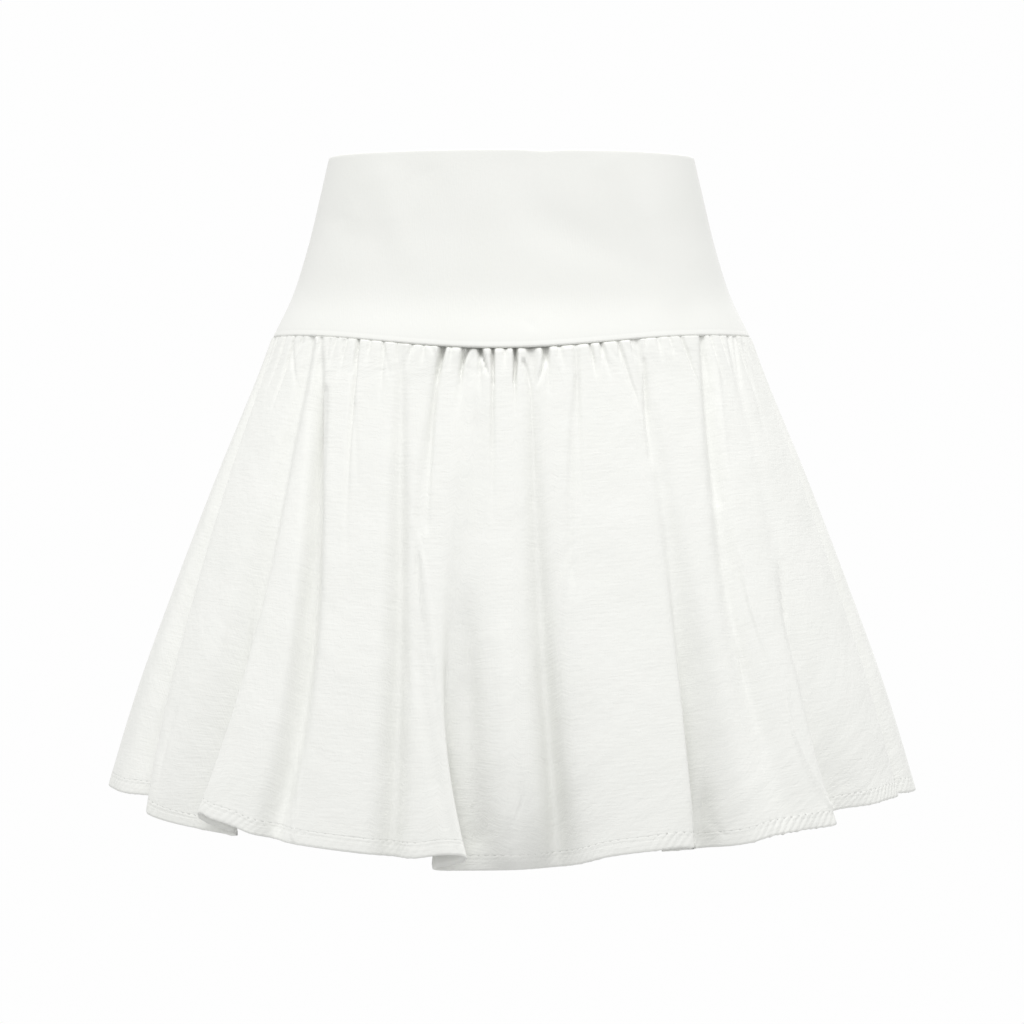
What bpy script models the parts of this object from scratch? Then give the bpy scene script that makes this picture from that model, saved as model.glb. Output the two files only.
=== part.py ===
"""High-waisted mini skirt: a smooth fitted yoke over a gathered, fluted lower part.

Metres, +Z up, front facing -Y, wearer's left at +X. The origin is the centre of the
waist opening, which is where the skirt is held when it is worn. Angles go round the
body in degrees from centre front, positive towards +X, so 180 is centre back.
"""
import math
from collections import namedtuple

import bpy
import numpy as np

# ------------------------------------------------------------------ driving dimensions
YOKE_WALL = 0.0024          # doubled firm cloth
FLOUNCE_WALL = 0.0011       # one layer of gathered cotton
HEM_WALL = 0.0020           # the narrow hem is turned twice
HEM_PROUD = 0.0004          # and stands out from the cloth above it
HEM_HEIGHT = 0.0085         # depth of the turned hem
PIECE_GAP = 0.0003          # between neighbouring pieces at a seam
TUCK = 0.004                # seam allowance that stands up behind the yoke's edge
PUFF_OUT = 0.011            # distance below the yoke in which the gathers fill out
LIP_PROUD = 0.0007          # the yoke's rolled lower edge stands out by this much
LIP_HEIGHT = 0.0030         # height of that roll
EDGE_ROUND = 0.0008         # rounding of folded and turned edges

SEAM_AT_SIDE = -0.1160      # height of the yoke's lower edge at the side seams
SEAM_FRONT_DROP = 0.0096    # the edge dips this much lower at centre front
SEAM_BACK_DROP = 0.0040
SEAM_DIP_CENTRE = -3.5      # degrees: the dip is a little to the wearer's right
SEAM_DIP_POWER = 5.2        # higher is a narrower dip

HEM_AT_SIDE = -0.4080       # about the height of the hem at the side seams

FLOUNCE_COLUMNS = 156       # per panel
YOKE_COLUMNS = 30
# distances below the yoke's edge of the flounce's mesh rows; the last are the hem
FLOUNCE_ROWS = (0.0015, 0.009, 0.024, 0.052, 0.095, 0.145, 0.195, 0.245)
YOKE_ROWS = (0.12, 0.36, 0.60, 0.80)     # parts of the yoke's height
LIP_ROWS = (1.0, 0.45)      # rows on the rolled edge, as parts of its height
LIP_SWELL = (1.0, 0.9)      # and how far each stands out, as a part of LIP_PROUD
RING_SAMPLES = 4001         # points on the ring by which the columns are spread
RING_BEYOND = 3.0           # degrees of that ring past each side seam

# The body of the skirt, seen from the front and from the side
Level = namedtuple("Level", "height half_width half_depth")
LEVELS = (
    Level(0.0000, 0.1186, 0.0890),
    Level(-0.0270, 0.1248, 0.0945),
    Level(-0.0590, 0.1326, 0.1010),
    Level(-0.0917, 0.1437, 0.1100),
    Level(-0.1180, 0.1557, 0.1200),
    Level(-0.1436, 0.1658, 0.1282),
    Level(-0.2020, 0.1898, 0.1470),
    Level(-0.2800, 0.2197, 0.1705),
    Level(-0.3470, 0.2437, 0.1890),
    Level(-0.4070, 0.2616, 0.2030),
    Level(-0.4600, 0.2750, 0.2130),
)

# Soft valleys between the flutes. at: where the valley lies at the seam, in the middle and
# at the hem, in degrees; deep: its depth there; half: its half width at the seam and the
# hem; lean: how far it reaches under the shoulder beside it at the hem, positive for the
# shoulder on its lower-angle side. All but at are in mm.
Flute = namedtuple("Flute", "name at deep half lean")
FLUTES = (
    Flute("side_right", (-81.0, -74.0, -67.5), (3.0, 7.0, 19.0), (4.0, 14.0), -18.0),
    Flute("front_1", (-55.5, -50.0, -54.3), (4.0, 8.0, 21.0), (4.0, 16.5), -17.0),
    Flute("front_2", (-49.0, -38.4, -34.2), (4.0, 12.0, 9.0), (3.0, 12.0), 0.0),
    Flute("front_3", (-27.6, -21.3, -16.4), (3.0, 10.0, 13.0), (3.0, 9.0), 0.0),
    Flute("front_4", (-17.0, -11.6, -2.9), (7.0, 6.5, 17.0), (3.5, 12.5), 18.0),
    Flute("front_4_right", (-9.0, -7.0, -1.5), (0.0, 7.0, 20.0), (5.0, 13.5), 0.0),
    Flute("front_5", (4.8, 4.4, 7.2), (7.0, 15.0, 38.0), (4.0, 15.0), 0.0),
    Flute("front_6", (30.5, 31.0, 30.4), (4.0, 7.5, 27.0), (3.0, 13.0), 20.0),
    Flute("front_7", (52.0, 40.8, 41.0), (4.0, 6.5, 1.5), (3.0, 12.0), 0.0),
    Flute("front_8", (64.0, 54.0, 55.5), (2.5, 4.0, 15.0), (3.0, 13.0), 15.0),
    Flute("side_left", (84.0, 79.0, 76.0), (3.0, 6.0, 10.0), (4.0, 14.0), 5.0),
    Flute("back_1", (106.0, 104.0, 103.0), (3.0, 9.0, 22.0), (4.0, 14.0), -5.0),
    Flute("back_2", (127.0, 126.0, 124.0), (4.0, 12.0, 28.0), (3.0, 14.0), -22.0),
    Flute("back_3", (143.0, 145.5, 146.0), (3.0, 10.0, 16.0), (3.0, 12.0), 0.0),
    Flute("back_4", (164.0, 164.5, 167.0), (4.0, 10.0, 32.0), (3.0, 14.0), -24.0),
    Flute("back_5", (189.0, 189.5, 187.0), (3.0, 10.0, 18.0), (3.0, 13.0), 0.0),
    Flute("back_6", (211.0, 208.0, 208.5), (4.0, 11.0, 30.0), (3.0, 14.0), 22.0),
    Flute("back_7", (228.0, 230.5, 231.0), (3.0, 9.0, 16.0), (3.0, 11.0), 0.0),
    Flute("back_8", (252.0, 253.5, 256.0), (3.0, 8.0, 24.0), (4.0, 14.0), 6.0),
)
FLUTE_MIDDLE = 0.4          # part of the way down at which the middle values hold
LEAN_POWER = 1.3            # the folds lean only towards the hem

# Height of the hem round the body.
Hem = namedtuple("Hem", "angle height")
HEM_LINE = (
    Hem(-90.0, -0.4062),
    Hem(-73.0, -0.4090),
    Hem(-69.0, -0.4110),
    Hem(-65.0, -0.4170),
    Hem(-58.0, -0.4225),
    Hem(-53.0, -0.4290),
    Hem(-49.5, -0.4200),
    Hem(-41.0, -0.4320),
    Hem(-31.0, -0.4350),
    Hem(-21.0, -0.4400),
    Hem(-13.0, -0.4430),
    Hem(-8.5, -0.4415),
    Hem(-4.0, -0.4500),
    Hem(0.5, -0.4500),
    Hem(6.0, -0.4475),
    Hem(19.0, -0.4390),
    Hem(24.0, -0.4370),
    Hem(28.5, -0.4385),
    Hem(33.0, -0.4350),
    Hem(43.0, -0.4285),
    Hem(53.5, -0.4232),
    Hem(57.0, -0.4175),
    Hem(62.0, -0.4140),
    Hem(76.0, -0.4105),
    Hem(95.0, -0.4100),
    Hem(130.0, -0.4240),
    Hem(160.0, -0.4375),
    Hem(185.0, -0.4420),
    Hem(215.0, -0.4330),
    Hem(240.0, -0.4200),
    Hem(270.0, -0.4062),
)

# Small creases of the gathers: seam and drift in degrees, the rest in mm.
Gather = namedtuple("Gather", "seam drift depth half length")
FRONT_GATHERS = (
    Gather(-88.0, 0.0, 3.1, 3.0, 30.0),
    Gather(-75.5, 0.5, 3.4, 2.8, 34.0),
    Gather(-69.0, 1.0, 3.0, 2.8, 44.0),
    Gather(-63.4, 2.0, 4.2, 2.6, 55.0),
    Gather(-59.5, 0.0, 2.7, 2.4, 25.0),
    Gather(-45.5, 0.0, 2.7, 2.4, 21.0),
    Gather(-42.0, 0.5, 2.8, 2.2, 30.0),
    Gather(-38.5, 6.0, 4.1, 2.4, 138.0),
    Gather(-34.8, 0.5, 2.4, 2.4, 18.0),
    Gather(-31.1, 3.0, 2.8, 2.4, 46.0),
    Gather(-23.5, -0.5, 3.5, 2.6, 18.0),
    Gather(-20.6, 0.5, 2.8, 2.2, 14.0),
    Gather(-13.9, 0.0, 2.6, 2.2, 16.0),
    Gather(-11.2, 0.0, 6.5, 2.8, 34.0),
    Gather(-7.2, 0.8, 6.0, 2.6, 30.0),
    Gather(-4.3, 0.8, 5.2, 2.4, 109.0),
    Gather(-1.5, 0.0, 3.0, 2.4, 16.0),
    Gather(0.9, 0.0, 4.6, 2.2, 34.0),
    Gather(8.4, -0.5, 4.6, 2.6, 24.0),
    Gather(11.2, 0.5, 3.2, 2.4, 18.0),
    Gather(14.4, -3.0, 4.4, 3.2, 172.0),
    Gather(18.2, 1.0, 3.5, 2.2, 23.0),
    Gather(21.2, 1.0, 4.2, 2.4, 25.0),
    Gather(25.3, 4.0, 3.1, 2.4, 63.0),
    Gather(29.0, 0.0, 2.4, 2.2, 18.0),
    Gather(36.5, -0.5, 2.7, 2.6, 18.0),
    Gather(40.0, 0.0, 2.3, 2.4, 16.0),
    Gather(43.8, 3.0, 3.4, 2.4, 58.0),
    Gather(55.0, -1.0, 3.0, 2.4, 39.0),
    Gather(59.5, -1.0, 2.7, 2.4, 30.0),
    Gather(68.5, -2.0, 3.6, 2.6, 50.0),
    Gather(73.0, 0.0, 3.0, 2.4, 32.0),
    Gather(78.5, 0.5, 3.4, 2.6, 39.0),
)
BACK_GATHER_SHIFT = 2.6     # the back is gathered alike, a little out of step
BACK_GATHER_DEPTH = 0.92
GATHER_SPREAD = 0.3         # a crease widens by this share on its way down
YOKE_SLOPE = 1.14           # length of a sloping yoke wall over its height
TUCKED_FOLDS = 0.8          # share of the folds' depth that is left behind the yoke
HALF_POWER = 0.8            # under 1: the valleys open soon below the seam

# ------------------------------------------------------------------ small helpers
MM = 0.001
CLOTH_COLOURS = {
    "yoke": (0.794, 0.798, 0.768, 1.0),
    "flounce": (0.802, 0.806, 0.776, 1.0),
}
CLOTH_ROUGHNESS = {"yoke": 0.72, "flounce": 0.85}


def ease(value, start, end):
    """Smooth step from 0 at start to 1 at end."""
    part = np.clip((value - start) / (end - start), 0.0, 1.0)
    return part * part * (3.0 - 2.0 * part)


def around(angle, centre):
    """Signed difference of two angles in degrees, between -180 and 180."""
    return (angle - centre + 180.0) % 360.0 - 180.0


def body_size(height):
    """Half width and half depth of the body of the skirt at a height."""
    heights = [level.height for level in reversed(LEVELS)]
    widths = [level.half_width for level in reversed(LEVELS)]
    depths = [level.half_depth for level in reversed(LEVELS)]
    return smooth_through(height, heights, widths), smooth_through(height, heights, depths)


def smooth_through(value, knots, levels):
    """Cubic curve through the table's knots, straight beyond its ends."""
    knots = np.asarray(knots)
    levels = np.asarray(levels)
    slopes = np.gradient(levels, knots)
    place = np.clip(np.searchsorted(knots, value) - 1, 0, len(knots) - 2)
    span = knots[place + 1] - knots[place]
    t = np.clip((value - knots[place]) / span, 0.0, 1.0)
    low, high = levels[place], levels[place + 1]
    rise_low, rise_high = slopes[place] * span, slopes[place + 1] * span
    return (low * (1 + 2 * t) * (1 - t) ** 2 + rise_low * t * (1 - t) ** 2
            + high * t ** 2 * (3 - 2 * t) - rise_high * t ** 2 * (1 - t))


def seam_height(angle):
    """Height of the yoke's lower edge round the body."""
    off_centre = np.cos(np.radians(angle - SEAM_DIP_CENTRE))
    front = SEAM_FRONT_DROP * np.maximum(off_centre, 0.0) ** SEAM_DIP_POWER
    back = SEAM_BACK_DROP * np.maximum(-off_centre, 0.0) ** SEAM_DIP_POWER
    return SEAM_AT_SIDE - front - back


def ellipse(angle, height, out=0.0, along=0.0):
    """Point on the body, moved out from it and along it (a horizontal ring)."""
    half_width, half_depth = body_size(height)
    sine, cosine = np.sin(np.radians(angle)), np.cos(np.radians(angle))
    length = np.hypot(half_depth * sine, half_width * cosine)
    out_x, out_y = half_depth * sine / length, -half_width * cosine / length
    x = half_width * sine + out_x * out - out_y * along
    y = -half_depth * cosine + out_y * out + out_x * along
    return np.stack([x, y, np.broadcast_to(height, x.shape)], axis=-1)


# ------------------------------------------------------------------ the flounce's form
def through_three(places, fall):
    """Parabola through a flute's values at the seam, in its middle and at the hem."""
    seam, middle, hem = places
    bow = middle - seam - (hem - seam) * FLUTE_MIDDLE
    return (seam + (hem - seam) * fall
            + bow * fall * (1.0 - fall) / (FLUTE_MIDDLE * (1.0 - FLUTE_MIDDLE)))


def hem_height(angle):
    """Height of the hem: lower at the front and the back, lifted where a fold turns under."""
    place = (angle + 90.0) % 360.0 - 90.0
    return smooth_through(place, [row.angle for row in HEM_LINE], [row.height for row in HEM_LINE])


def degrees_for(length_mm, height):
    """Degrees round the body that a length in mm takes at a height."""
    half_width, half_depth = body_size(height)
    return np.degrees(length_mm * MM / (0.5 * (half_width + half_depth)))


def all_gathers():
    back = [Gather(180.0 - gather.seam + BACK_GATHER_SHIFT, -gather.drift,
                   gather.depth * BACK_GATHER_DEPTH, gather.half, gather.length)
            for gather in FRONT_GATHERS]
    return list(FRONT_GATHERS) + back


def flounce_point(angle, below):
    """Outer face of the flounce at an angle and a distance below the yoke's edge."""
    top, bottom = seam_height(angle), hem_height(angle)
    fall = np.clip(below / (SEAM_AT_SIDE - HEM_AT_SIDE), 0.0, 1.0)
    height = np.where(below < 0.0, top - below, top + (bottom - top) * fall)
    out = np.zeros_like(height)
    along = np.zeros_like(height)
    for flute in FLUTES:
        depth = through_three(flute.deep, fall)
        half = flute.half[0] + (flute.half[1] - flute.half[0]) * fall ** HALF_POWER
        reach = around(angle, through_three(flute.at, fall)) / degrees_for(half, height)
        share = MM * np.exp(-reach ** 2)
        out -= depth * share
        along -= flute.lean * fall ** LEAN_POWER * share
    for gather in all_gathers():
        run = np.clip(below / (gather.length * MM), 0.0, 1.0)
        half = gather.half * (1.0 + GATHER_SPREAD * run)
        reach = around(angle, gather.seam + gather.drift * run) / degrees_for(half, height)
        out -= gather.depth * MM * (1.0 - ease(run, 0.0, 1.0)) * np.exp(-reach ** 2)
    # behind the yoke's edge the gathers lie flat, and below it they fill out
    filled = ease(below, 0.0, PUFF_OUT)
    tucked = -(YOKE_WALL + PIECE_GAP) * YOKE_SLOPE + TUCKED_FOLDS * out
    out = tucked * (1.0 - filled) + out * filled
    return ellipse(angle, height, out, along * filled)


# ------------------------------------------------------------------ building the walls
def unit_normals(grid):
    """Outward unit normals of a grid of points, rows downwards, columns with the angle."""
    along = np.gradient(grid, axis=1)
    down = np.gradient(grid, axis=0)
    normal = np.cross(down, along)
    return normal / np.linalg.norm(normal, axis=-1, keepdims=True)


def panel_angles(first, last, columns, ring):
    """Angles of a panel's columns, as close on the flanks of the folds as on the ridges.

    Half of the columns are spread by angle and half by the length of the ring; one more
    column lies beyond each side seam.
    """
    angle = np.linspace(first - RING_BEYOND, last + RING_BEYOND, RING_SAMPLES)
    steps = np.linalg.norm(np.diff(ring(angle), axis=0, prepend=ring(angle[:1])), axis=-1)
    length = np.cumsum(steps)
    share = length / length[-1] + (angle - angle[0]) / (angle[-1] - angle[0])
    start, end = np.interp((first, last), angle, share)
    wanted = np.linspace(-1.0, columns + 1.0, columns + 3) / columns
    return np.interp(start + (end - start) * wanted, share, angle)


def close_wall(name, outer, inner, cloth, collection):
    """One closed body between an outer and an inner grid of the same shape."""
    rows, columns = outer.shape[:2]
    for edge, neighbour in ((0, 1), (-1, -2)):
        step = outer[:, neighbour] - outer[:, edge]
        step = step / np.linalg.norm(step, axis=-1, keepdims=True) * PIECE_GAP / 2
        outer[:, edge] += step
        inner[:, edge] += step
    points = [tuple(point) for grid in (outer, inner) for row in grid for point in row]
    layer = rows * columns
    faces = []

    def corner(row, column, inside):
        return row * columns + column + (layer if inside else 0)

    for row in range(rows - 1):
        for column in range(columns - 1):
            here = (row, column)
            below = (row + 1, column)
            beyond = (row + 1, column + 1)
            beside = (row, column + 1)
            faces.append([corner(*place, False) for place in (here, below, beyond, beside)])
            faces.append([corner(*place, True) for place in (here, beside, beyond, below)])
    for column in range(columns - 1):
        faces.append([corner(0, column, False), corner(0, column + 1, False),
                      corner(0, column + 1, True), corner(0, column, True)])
        faces.append([corner(rows - 1, column + 1, False), corner(rows - 1, column, False),
                      corner(rows - 1, column, True), corner(rows - 1, column + 1, True)])
    for row in range(rows - 1):
        faces.append([corner(row + 1, 0, False), corner(row, 0, False),
                      corner(row, 0, True), corner(row + 1, 0, True)])
        faces.append([corner(row, columns - 1, False), corner(row + 1, columns - 1, False),
                      corner(row + 1, columns - 1, True), corner(row, columns - 1, True)])
    mesh = bpy.data.meshes.new(name)
    mesh.from_pydata(points, [], faces)
    mesh.materials.append(cloth)
    mesh.shade_smooth()
    mesh.set_sharp_from_angle(angle=math.radians(50))
    body = bpy.data.objects.new(name, mesh)
    collection.objects.link(body)
    return body


def flounce_panel(name, first, last, cloth, collection):
    """One gathered panel, from its seam allowance behind the yoke to its turned hem."""
    length = SEAM_AT_SIDE - HEM_AT_SIDE
    rows = ((-TUCK,) + FLOUNCE_ROWS
            + (length - HEM_HEIGHT, length - HEM_HEIGHT + EDGE_ROUND, length))
    walls = [FLOUNCE_WALL] * (len(rows) - 2) + [HEM_WALL] * 2
    extra = [0.0] * (len(rows) - 2) + [HEM_PROUD] * 2
    columns = panel_angles(first, last, FLOUNCE_COLUMNS,
                           lambda angle: flounce_point(angle, np.full_like(angle, length)))
    angle, below = np.meshgrid(columns, rows)
    face = flounce_point(angle, below)
    normal = unit_normals(face)
    outer = face + normal * np.array(extra)[:, None, None]
    inner = outer - normal * np.array(walls)[:, None, None]
    return close_wall(name, outer[:, 1:-1], inner[:, 1:-1], cloth, collection)


def yoke_panel(name, first, last, cloth, collection):
    """One smooth yoke panel: folded at the waist, rolled at its lower edge."""
    angle = panel_angles(first, last, YOKE_COLUMNS, lambda angle: ellipse(angle, SEAM_AT_SIDE))
    lower = seam_height(angle)
    drops = [np.zeros_like(lower), np.full_like(lower, -EDGE_ROUND)]
    drops += [lower * part for part in YOKE_ROWS]
    drops += [lower + LIP_HEIGHT * part for part in LIP_ROWS]
    drops += [lower + EDGE_ROUND, lower]
    height = np.stack(drops)
    proud = np.zeros(len(drops))
    proud[-3:-1] = [LIP_PROUD * part for part in LIP_SWELL]
    face = ellipse(np.broadcast_to(angle, height.shape), height)
    normal = unit_normals(face)
    inner = face - normal * YOKE_WALL
    outer = face + normal * proud[:, None, None]
    # both folded edges are rounded: their last rows draw in towards the wall's middle
    for edge in (0, -1):
        outer[edge] -= normal[edge] * EDGE_ROUND
        inner[edge] += normal[edge] * EDGE_ROUND
    return close_wall(name, outer[:, 1:-1], inner[:, 1:-1], cloth, collection)


# ------------------------------------------------------------------ the whole skirt
def clear_scene():
    for old in list(bpy.data.objects):
        bpy.data.objects.remove(old, do_unlink=True)


def cloth_material(kind):
    material = bpy.data.materials.new(f"{kind}_cloth")
    material.use_nodes = True
    shader = material.node_tree.nodes["Principled BSDF"]
    shader.inputs["Base Color"].default_value = CLOTH_COLOURS[kind]
    shader.inputs["Roughness"].default_value = CLOTH_ROUGHNESS[kind]
    shader.inputs["Metallic"].default_value = 0.0
    return material


def build_skirt():
    clear_scene()
    collection = bpy.data.collections.new("pleated_mini_skirt")
    bpy.context.scene.collection.children.link(collection)
    yoke_cloth = cloth_material("yoke")
    flounce_cloth = cloth_material("flounce")
    yoke_panel("yoke_front", -90.0, 90.0, yoke_cloth, collection)
    yoke_panel("yoke_back", 90.0, 270.0, yoke_cloth, collection)
    flounce_panel("skirt_front", -90.0, 90.0, flounce_cloth, collection)
    flounce_panel("skirt_back", 90.0, 270.0, flounce_cloth, collection)


build_skirt()
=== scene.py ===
"""The looks of a white high-waisted mini skirt with a smooth yoke and a gathered flounce.

Metres, +Z up, the front faces -Y, the origin is the centre of the waist opening. Angles
go round the body in degrees from centre front, positive towards +X. Each cloth piece is
a thin shell on the form of its solid, with finer gathers, creases, hem and stitching.
"""
import math
from collections import namedtuple

import bpy
import numpy as np
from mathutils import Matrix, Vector


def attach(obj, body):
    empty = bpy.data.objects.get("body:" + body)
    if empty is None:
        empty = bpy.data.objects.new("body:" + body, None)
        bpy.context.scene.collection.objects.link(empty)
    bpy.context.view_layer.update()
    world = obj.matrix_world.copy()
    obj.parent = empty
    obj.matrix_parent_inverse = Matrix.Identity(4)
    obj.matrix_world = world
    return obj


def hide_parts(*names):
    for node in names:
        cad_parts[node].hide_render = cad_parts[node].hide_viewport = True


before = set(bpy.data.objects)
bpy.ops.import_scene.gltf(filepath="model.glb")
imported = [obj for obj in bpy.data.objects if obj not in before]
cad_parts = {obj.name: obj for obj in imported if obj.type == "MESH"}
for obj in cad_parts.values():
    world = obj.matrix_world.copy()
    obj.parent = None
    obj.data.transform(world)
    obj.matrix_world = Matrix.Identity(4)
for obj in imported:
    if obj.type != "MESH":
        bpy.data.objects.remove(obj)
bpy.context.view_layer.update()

MM = 0.001

# ------------------------------------------------------------------ the skirt's sizes
YOKE_WALL = 0.0024
FLOUNCE_WALL = 0.0010
HEM_WALL = 0.0021
HEM_HEIGHT = 0.0085
HEM_PROUD = 0.00012         # how far the turned hem stands proud of the cloth above it
HEM_SUNK = 0.6              # its band starts this share of that height inside the cloth,
HEM_OVERLAP = 0.0008        # this far above its fold line,
HEM_STEP = 0.0009           # and is at its full height this far below that line
HEM_STITCH_DOWN = 0.0020    # its line of stitches, below the same line
PIECE_GAP = 0.0003
TUCK = 0.004                # the flounce starts this far above the yoke's lower edge
LIP_PROUD = 0.00005         # the yoke's rolled lower edge stands this far proud,
LIP_HEIGHT = 0.0030         # and is this high,
EDGE_STITCH_UP = 0.0034     # with a faint line along its top
EDGE_STITCH_DEEP = 0.00004
EDGE_ROUND = 0.0005         # radius of the hem's edge and of both edges of the yoke
HEM_EDGE_SHARE = 0.8        # the hem takes this share of it off each face,
HEM_EDGE_REACH = 1.2        # over a height of this many radii
STITCH_GROOVE = 0.00014     # how deep the hem's stitches sink
GROOVE_HALF = 0.0006        # half width of a stitched line
WAIST_CROWN = 0.0011        # the waist edge is this much higher in front
WAIST_DIP = 0.0009          # and has one small dip
WAIST_DIP_AT = 10.0
WAIST_DIP_HALF = 5.0
PUFF_FRONT = 0.0017         # how soon the gathers swell out below the yoke: in front,
PUFF_ROUND = 0.0006         # and at the sides and the back
PUFF_MIDDLE = 1.0
PUFF_SPREAD = 26.0
SWELL = 0.0006              # just below the seam the cloth stands this far out,
SWELL_DOWN = 0.012          # and less and less down to about here
FINE_GATHERS = 0.56         # the gathers are this much narrower than in the solid,
GATHER_SHARE = 0.64         # and have this share of their depth

# The seam between yoke and flounce: its height at the sides and how far it dips.
SEAM_AT_SIDE = -0.1160
SEAM_FRONT_DROP = 0.0096
SEAM_BACK_DROP = 0.0040
SEAM_DIP_CENTRE = -3.5
SEAM_DIP_POWER = 5.2

HEM_AT_SIDE = -0.4080
FLOUNCE_LENGTH = SEAM_AT_SIDE - HEM_AT_SIDE
HEM_TOP = FLOUNCE_LENGTH - HEM_HEIGHT

# The two halves of the body, from side seam to side seam in degrees.
PANELS = (("front", -90.0, 90.0), ("back", 90.0, 270.0))
PANEL_MARGIN = 3.0          # a ring is measured this many degrees beyond both side seams
RING_SAMPLES = 6001

# Columns of each half, and the heights of its rows. The rows lie closest at the edges and
# in the gathers.
FLOUNCE_COLUMNS = 960
HEM_COLUMNS = 1560
YOKE_COLUMNS = 400
FLOUNCE_ROWS = np.concatenate([         # below the yoke's lower edge
    [-TUCK, -0.0015, 0.0, 0.0003, 0.0006, 0.0010],
    np.arange(0.0016, 0.0325, 0.0017),
    np.arange(0.0345, 0.130, 0.0031),
    np.linspace(0.1335, HEM_TOP - 0.0075, 21),
    HEM_TOP - np.array([0.0048, 0.0026, 0.0008, -0.0006]),
])
HEM_ROWS = np.concatenate([             # the same, for the hem's band
    HEM_TOP - HEM_OVERLAP + 0.0007 * np.arange(6.0),
    np.linspace(HEM_TOP + 0.0037, FLOUNCE_LENGTH - EDGE_ROUND, 5),
    [FLOUNCE_LENGTH - EDGE_ROUND / 3, FLOUNCE_LENGTH],
])
YOKE_EDGE_ROWS = np.array([             # above the yoke's lower edge
    0.0078, 0.0066, 0.0056, 0.0048, 0.0042, 0.0038, 0.0034, 0.0030, 0.0026, 0.0020, 0.0014,
    0.0009, 0.0004, 0.0])
YOKE_ROW_SHARES = np.concatenate([      # from the waist down to the first of those rows
    [0.0, 0.003, 0.008], np.linspace(0.02, 1.0, 60)])
YOKE_ROW_STEP = 0.0014                  # which lies this far below the last of these

# Half width and half depth of the body of the skirt at each height.
Level = namedtuple("Level", "height half_width half_depth")
LEVELS = (
    Level(0.0000, 0.1186, 0.0890),
    Level(-0.0270, 0.1248, 0.0945),
    Level(-0.0590, 0.1326, 0.1010),
    Level(-0.0917, 0.1437, 0.1100),
    Level(-0.1180, 0.1557, 0.1200),
    Level(-0.1436, 0.1658, 0.1282),
    Level(-0.2020, 0.1898, 0.1470),
    Level(-0.2800, 0.2197, 0.1705),
    Level(-0.3470, 0.2437, 0.1890),
    Level(-0.4070, 0.2616, 0.2030),
    Level(-0.4600, 0.2750, 0.2130),
)

# Soft valleys between the flutes. at: where the valley lies at the seam, in the middle and
# at the hem, in degrees; deep: its depth there; half: its half width at the seam and the
# hem; lean: how far it reaches under the shoulder beside it at the hem, positive for the
# shoulder on its lower-angle side. All but at are in mm. A lean that is less than 0 reaches
# under the other shoulder.
Flute = namedtuple("Flute", "name at deep half lean")
FLUTES = (
    Flute("side_right", (-81.0, -74.0, -67.5), (3.0, 7.0, 19.0), (4.0, 14.0), -18.0),
    Flute("front_1", (-55.2, -49.6, -55.0), (3.0, 8.0, 24.0), (3.4, 14.5), -42.0),
    Flute("front_2", (-51.5, -37.6, -34.6), (0.3, 11.5, 9.0), (3.0, 9.0), 0.0),
    Flute("front_3", (-26.4, -20.0, -16.4), (1.0, 8.0, 13.0), (3.0, 8.5), 0.0),
    Flute("front_4", (-16.2, -16.3, -7.0), (2.5, 2.0, 0.5), (2.4, 4.5), 0.0),
    Flute("front_4_right", (-6.0, -7.8, 0.8), (0.0, 3.2, 27.0), (4.0, 15.5), 50.0),
    Flute("front_5", (4.6, 4.4, 6.9), (1.6, 7.0, 20.0), (2.5, 9.0), 0.0),
    Flute("front_5_wide", (6.0, 6.2, 8.0), (0.0, 2.5, 9.0), (4.0, 19.0), 0.0),
    Flute("front_6", (30.5, 29.6, 30.0), (3.0, 5.5, 31.0), (3.0, 11.0), 30.0),
    Flute("front_7", (52.0, 40.8, 41.0), (4.0, 6.5, 1.5), (3.0, 12.0), 0.0),
    Flute("front_8", (64.0, 54.0, 55.5), (2.5, 1.0, 14.0), (3.0, 13.0), 15.0),
    Flute("side_left", (84.0, 79.0, 76.0), (3.0, 6.0, 10.0), (4.0, 14.0), 5.0),
    Flute("back_1", (106.0, 104.0, 103.0), (3.0, 9.0, 22.0), (4.0, 14.0), -5.0),
    Flute("back_2", (127.0, 126.0, 124.0), (4.0, 12.0, 28.0), (3.0, 14.0), -22.0),
    Flute("back_3", (143.0, 145.5, 146.0), (3.0, 10.0, 16.0), (3.0, 12.0), 0.0),
    Flute("back_4", (164.0, 164.5, 167.0), (4.0, 10.0, 32.0), (3.0, 14.0), -24.0),
    Flute("back_5", (189.0, 189.5, 187.0), (3.0, 10.0, 18.0), (3.0, 13.0), 0.0),
    Flute("back_6", (211.0, 208.0, 208.5), (4.0, 11.0, 30.0), (3.0, 14.0), 22.0),
    Flute("back_7", (228.0, 230.5, 231.0), (3.0, 9.0, 16.0), (3.0, 11.0), 0.0),
    Flute("back_8", (252.0, 253.5, 256.0), (3.0, 8.0, 24.0), (4.0, 14.0), 6.0),
)
FLUTE_MIDDLE = 0.4          # how far down the middle values hold, as a share of the fall
FLUTE_OPENING = 0.8         # below 1 a flute opens out sooner than it falls
LEAN_POWER = 3.0            # a fold's lean grows with this power of the fall

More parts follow.
